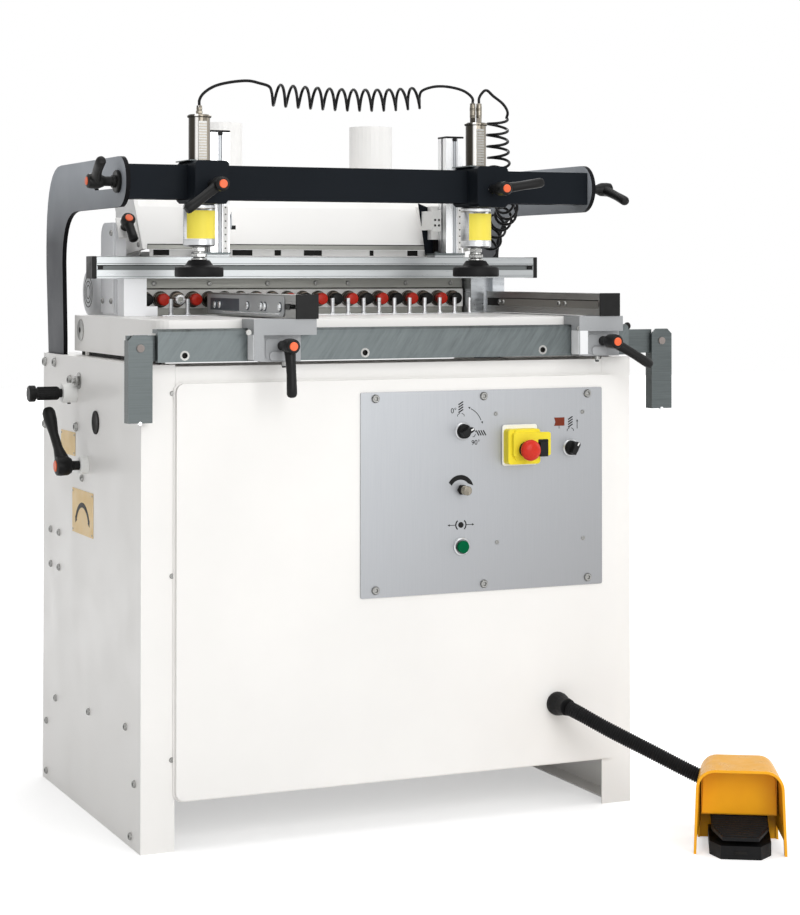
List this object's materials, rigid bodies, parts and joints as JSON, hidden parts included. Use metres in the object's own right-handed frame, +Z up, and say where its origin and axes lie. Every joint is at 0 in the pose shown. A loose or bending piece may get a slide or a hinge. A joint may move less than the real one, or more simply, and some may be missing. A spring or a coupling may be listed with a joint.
{
  "type": "dowel joiner",
  "caption": "Floor-standing dowel boring machine with a row of spindles, a small table with side fences, two air pressers on a gantry beam, a dust hood and a foot pedal.",
  "frame": {"origin": "on the floor, under the centre of the plan outline of machine and pedal", "axes": "+X right along the spindle row, +Y from the operator to the back, +Z up"},
  "size_m": [1.1178, 1.0992, 1.3119],
  "materials": {
    "anthracite_paint": "satin dark grey",
    "black_plastic": "matte",
    "black_rubber": "matte",
    "extrusion": "anodised extrusion",
    "galvanised": "zinc plated with brush marks",
    "green_plastic": "gloss",
    "grey_paint": "satin mid grey",
    "nickel": "polished nickel",
    "red_plastic": "gloss",
    "silver_plate": "satin brushed control plate",
    "steel": "ground",
    "taupe_metal": "satin warm grey",
    "white_paint": "satin warm white sheet metal",
    "yellow_paint": "gloss enamel",
    "yellow_plastic": "gloss"
  },
  "bodies": {
    "machine": {"side_frame_left": "white_paint", "side_frame_right": "white_paint", "front_header": "white_paint", "back_panel": "white_paint", "front_panel": "white_paint", "control_plate": "silver_plate", "switch_box": "yellow_plastic", "table": "white_paint", "front_bar": "galvanised", "stop_rail": "galvanised", "arm_left": "grey_paint", "arm_right": "grey_paint", "hood": "white_paint", "hood_bracket_left": "grey_paint", "hood_bracket_right": "galvanised", "conduit_gland": "black_plastic", "foot_conduit": "black_rubber", "pedal_guard": "yellow_paint", "pedal_base": "black_plastic"},
    "beam": {"beam": "anthracite_paint", "hose_coil_span": "black_rubber", "hose_coil_drop": "black_rubber"},
    "beam_lever_left": {"beam_lever_left": "black_plastic"},
    "beam_lever_right": {"beam_lever_right": "black_plastic"},
    "carriage_left": {"carriage_left": "anthracite_paint"},
    "carriage_right": {"carriage_right": "anthracite_paint", "hose_lead_drop": "black_rubber"},
    "carriage_lever_left": {"carriage_lever_left": "black_plastic"},
    "carriage_lever_right": {"carriage_lever_right": "black_plastic"},
    "presser_left": {"presser_column_left": "nickel", "hose_lead_left": "black_rubber"},
    "presser_right": {"presser_column_right": "nickel", "hose_lead_right": "black_rubber"},
    "pad_left": {"presser_pad_left": "black_rubber"},
    "pad_right": {"presser_pad_right": "black_rubber"},
    "rear_fence": {"rear_fence_bar": "extrusion", "fence_upright_left": "extrusion", "fence_upright_right": "extrusion"},
    "fence_left": {"side_fence_left": "extrusion", "fence_bracket_left": "extrusion"},
    "fence_right": {"side_fence_right": "extrusion", "fence_bracket_right": "extrusion"},
    "fence_lever_left": {"fence_lever_left": "black_plastic"},
    "fence_lever_right": {"fence_lever_right": "black_plastic"},
    "end_stop_left": {"end_stop_left": "galvanised"},
    "end_stop_right": {"end_stop_right": "galvanised"},
    "hood_lever": {"hood_lever": "black_plastic"},
    "side_lever": {"side_lever": "black_plastic"},
    "adjuster": {"adjuster_knob": "black_plastic"},
    "mode_selector": {"mode_selector": "black_plastic"},
    "feed_selector": {"feed_selector": "black_plastic"},
    "regulator": {"regulator_knob": "nickel"},
    "emergency_stop": {"emergency_stop_button": "red_plastic"},
    "start_button": {"start_button": "black_plastic"},
    "cycle_button": {"cycle_button": "green_plastic"},
    "pedal_tread": {"pedal_tread": "black_plastic"},
    "cradle": {"tilt_cradle": "galvanised", "motor": "grey_paint"},
    "head": {"spindle_head": "taupe_metal"},
    "spindle": {"drive_spindle": "steel"}
  },
  "joints": [
    {"name": "beam_slide", "type": "slide", "parent": "machine", "child": "beam", "axis": [0, 1, 0], "range_m": [0, 0.13], "deforming": ["hose_coil_drop"]},
    {"name": "beam_lever_left_turn", "type": "hinge", "parent": "beam", "child": "beam_lever_left", "pos_m": [-0.4646, 0.0516, 1.124], "axis": [1, 0, 0], "range_deg": [-40, 40]},
    {"name": "beam_lever_right_turn", "type": "hinge", "parent": "beam", "child": "beam_lever_right", "pos_m": [0.4554, 0.0516, 1.124], "axis": [1, 0, 0], "range_deg": [-40, 40]},
    {"name": "carriage_left_slide", "type": "slide", "parent": "beam", "child": "carriage_left", "axis": [1, 0, 0], "range_m": [-0.05, 0.2], "deforming": ["hose_coil_span"]},
    {"name": "carriage_right_slide", "type": "slide", "parent": "beam", "child": "carriage_right", "axis": [1, 0, 0], "range_m": [-0.15, 0.12], "deforming": ["hose_lead_drop"]},
    {"name": "carriage_lever_left_turn", "type": "hinge", "parent": "carriage_left", "child": "carriage_lever_left", "pos_m": [-0.3166, -0.0194, 1.118], "axis": [0, 1, 0], "range_deg": [-45, 45]},
    {"name": "carriage_lever_right_turn", "type": "hinge", "parent": "carriage_right", "child": "carriage_lever_right", "pos_m": [0.2244, -0.0194, 1.118], "axis": [0, 1, 0], "range_deg": [-45, 45]},
    {"name": "column_left_slide", "type": "slide", "parent": "carriage_left", "child": "presser_left", "axis": [0, 0, 1], "range_m": [-0.03, 0], "deforming": ["hose_lead_left"]},
    {"name": "column_right_slide", "type": "slide", "parent": "carriage_right", "child": "presser_right", "axis": [0, 0, 1], "range_m": [-0.03, 0], "deforming": ["hose_lead_right"]},
    {"name": "pad_left_stroke", "type": "slide", "parent": "presser_left", "child": "pad_left", "axis": [0, 0, 1], "range_m": [-0.035, 0]},
    {"name": "pad_right_stroke", "type": "slide", "parent": "presser_right", "child": "pad_right", "axis": [0, 0, 1], "range_m": [-0.035, 0]},
    {"name": "rear_fence_lift", "type": "slide", "parent": "machine", "child": "rear_fence", "axis": [0, 0, 1], "range_m": [0, 0.055]},
    {"name": "side_fence_left_slide", "type": "slide", "parent": "machine", "child": "fence_left", "axis": [1, 0, 0], "range_m": [-0.04, 0.15]},
    {"name": "side_fence_right_slide", "type": "slide", "parent": "machine", "child": "fence_right", "axis": [1, 0, 0], "range_m": [-0.055, 0.015]},
    {"name": "fence_lever_left_turn", "type": "hinge", "parent": "fence_left", "child": "fence_lever_left", "pos_m": [-0.2366, -0.1474, 0.843], "axis": [0, 1, 0], "range_deg": [-60, 60]},
    {"name": "fence_lever_right_turn", "type": "hinge", "parent": "fence_right", "child": "fence_lever_right", "pos_m": [0.3814, -0.1474, 0.843], "axis": [0, 1, 0], "range_deg": [-60, 60]},
    {"name": "end_stop_left_slide", "type": "slide", "parent": "machine", "child": "end_stop_left", "axis": [1, 0, 0], "range_m": [-0.12, 0]},
    {"name": "end_stop_right_slide", "type": "slide", "parent": "machine", "child": "end_stop_right", "axis": [1, 0, 0], "range_m": [-0.035, 0.08]},
    {"name": "hood_lever_turn", "type": "hinge", "parent": "machine", "child": "hood_lever", "pos_m": [-0.3676, 0.3306, 1.05], "axis": [0, -0.8387, 0.5446], "range_deg": [-60, 60]},
    {"name": "side_lever_turn", "type": "hinge", "parent": "machine", "child": "side_lever", "pos_m": [-0.4706, 0.2206, 0.62], "axis": [1, 0, 0], "range_deg": [-35, 35]},
    {"name": "adjuster_turn", "type": "hinge", "parent": "machine", "child": "adjuster", "pos_m": [-0.4706, 0.2976, 0.746], "axis": [1, 0, 0], "continuous": true},
    {"name": "mode_selector_turn", "type": "hinge", "parent": "machine", "child": "mode_selector", "pos_m": [0.1164, -0.118, 0.686], "axis": [0, 1, 0], "range_deg": [0, 90]},
    {"name": "feed_selector_turn", "type": "hinge", "parent": "machine", "child": "feed_selector", "pos_m": [0.3314, -0.118, 0.65], "axis": [0, 1, 0], "range_deg": [0, 90]},
    {"name": "regulator_turn", "type": "hinge", "parent": "machine", "child": "regulator", "pos_m": [0.1144, -0.118, 0.583], "axis": [0, 1, 0], "continuous": true},
    {"name": "emergency_stop_press", "type": "slide", "parent": "machine", "child": "emergency_stop", "axis": [0, 1, 0], "range_m": [0, 0.004], "stiffness_N_per_m": 800, "springref_m": -0.004},
    {"name": "start_press", "type": "slide", "parent": "machine", "child": "start_button", "axis": [0, 1, 0], "range_m": [0, 0.003], "stiffness_N_per_m": 600, "springref_m": -0.003},
    {"name": "cycle_press", "type": "slide", "parent": "machine", "child": "cycle_button", "axis": [0, 1, 0], "range_m": [0, 0.0025], "stiffness_N_per_m": 600, "springref_m": -0.003},
    {"name": "pedal_press", "type": "hinge", "parent": "machine", "child": "pedal_tread", "pos_m": [0.4843, -0.4317, 0.052], "axis": [0.8599, -0.5105, 0], "range_deg": [0, 3.5], "stiffness_Nm_per_rad": 20, "springref_deg": -11.46},
    {"name": "head_tilt", "type": "hinge", "parent": "machine", "child": "cradle", "pos_m": [-0.0046, 0.2746, 0.846], "axis": [1, 0, 0], "range_deg": [-90, 0]},
    {"name": "head_feed", "type": "slide", "parent": "cradle", "child": "head", "axis": [0, -1, 0], "range_m": [0, 0.03]},
    {"name": "spindle_spin", "type": "hinge", "parent": "head", "child": "spindle", "pos_m": [-0.0046, 0.3506, 0.915], "axis": [0, 1, 0], "continuous": true}
  ]
}
